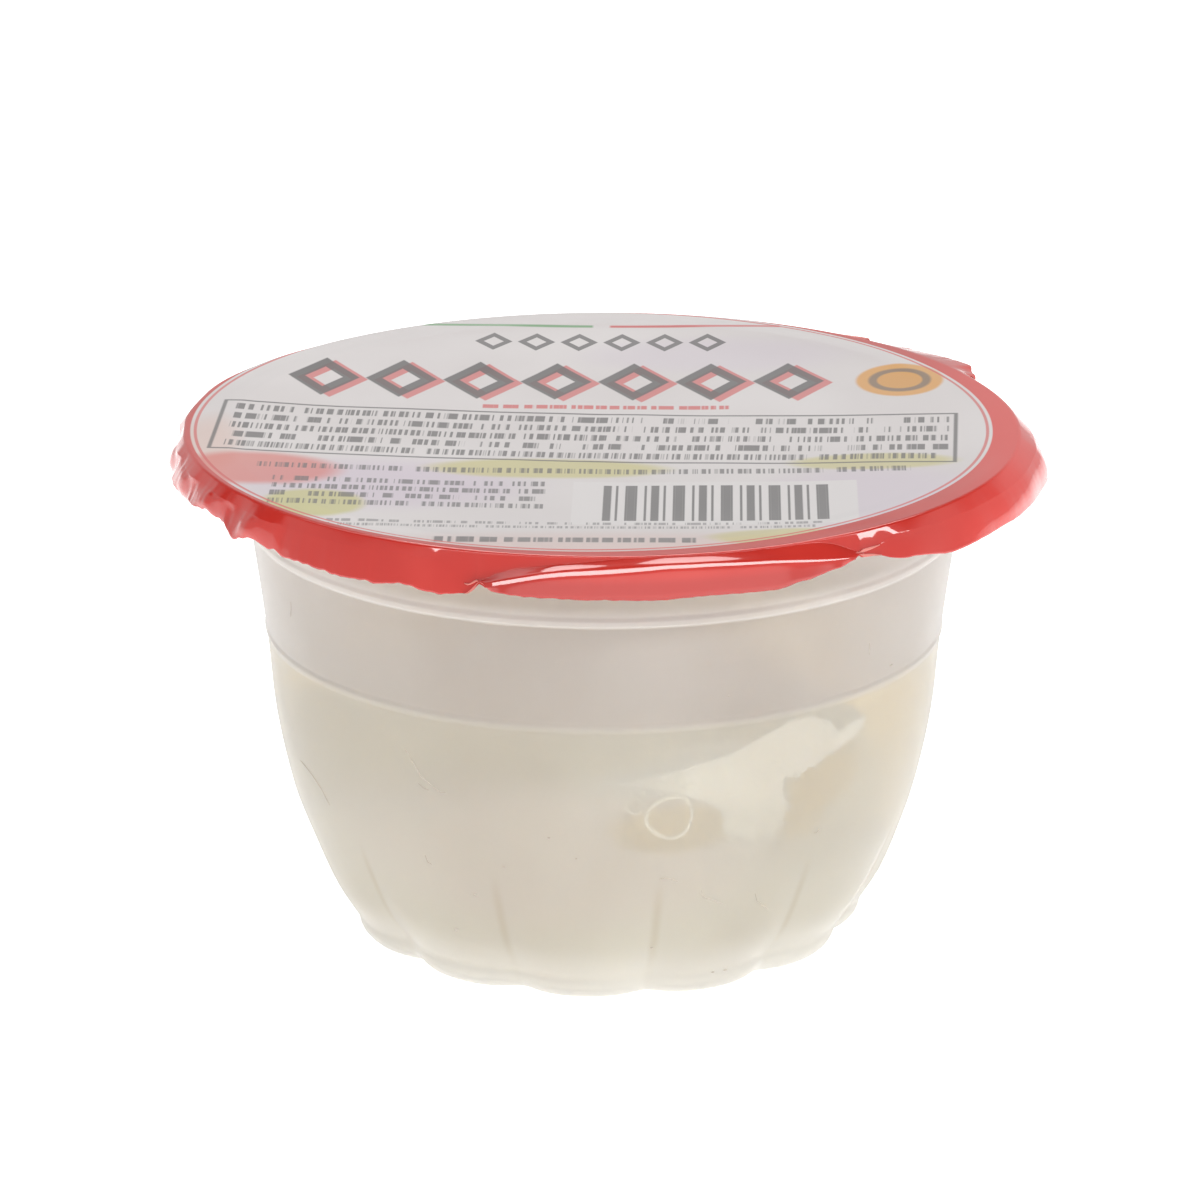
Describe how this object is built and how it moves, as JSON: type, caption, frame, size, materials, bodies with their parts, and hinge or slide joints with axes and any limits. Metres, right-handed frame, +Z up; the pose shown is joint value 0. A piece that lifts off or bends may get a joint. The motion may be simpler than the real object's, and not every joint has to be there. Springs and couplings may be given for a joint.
{
  "type": "sealed cup of burrata cheese",
  "caption": "Small translucent plastic cup with a scalloped foot, holding a soft white cheese in whey under a sealed printed film lid with a pull tab.",
  "frame": {"origin": "centre of the cup's foot, on the surface it stands on", "axes": "+Z up through the middle of the lid, -Y towards the side the print is read from, +X to that reader's right"},
  "size_m": [0.099, 0.0964, 0.0579],
  "materials": {
    "cup_plastic": "frosted translucent polypropylene, thin and slightly milky",
    "cheese": "soft moist fresh cheese, creamy white",
    "whey": "cloudy pale straw liquid",
    "printed_film": "thin glossy printed film, pale middle with a red rim"
  },
  "bodies": {
    "root": {"cup": "cup_plastic", "burrata": "cheese", "whey": "whey", "lid_film": "printed_film"}
  },
  "joints": []
}
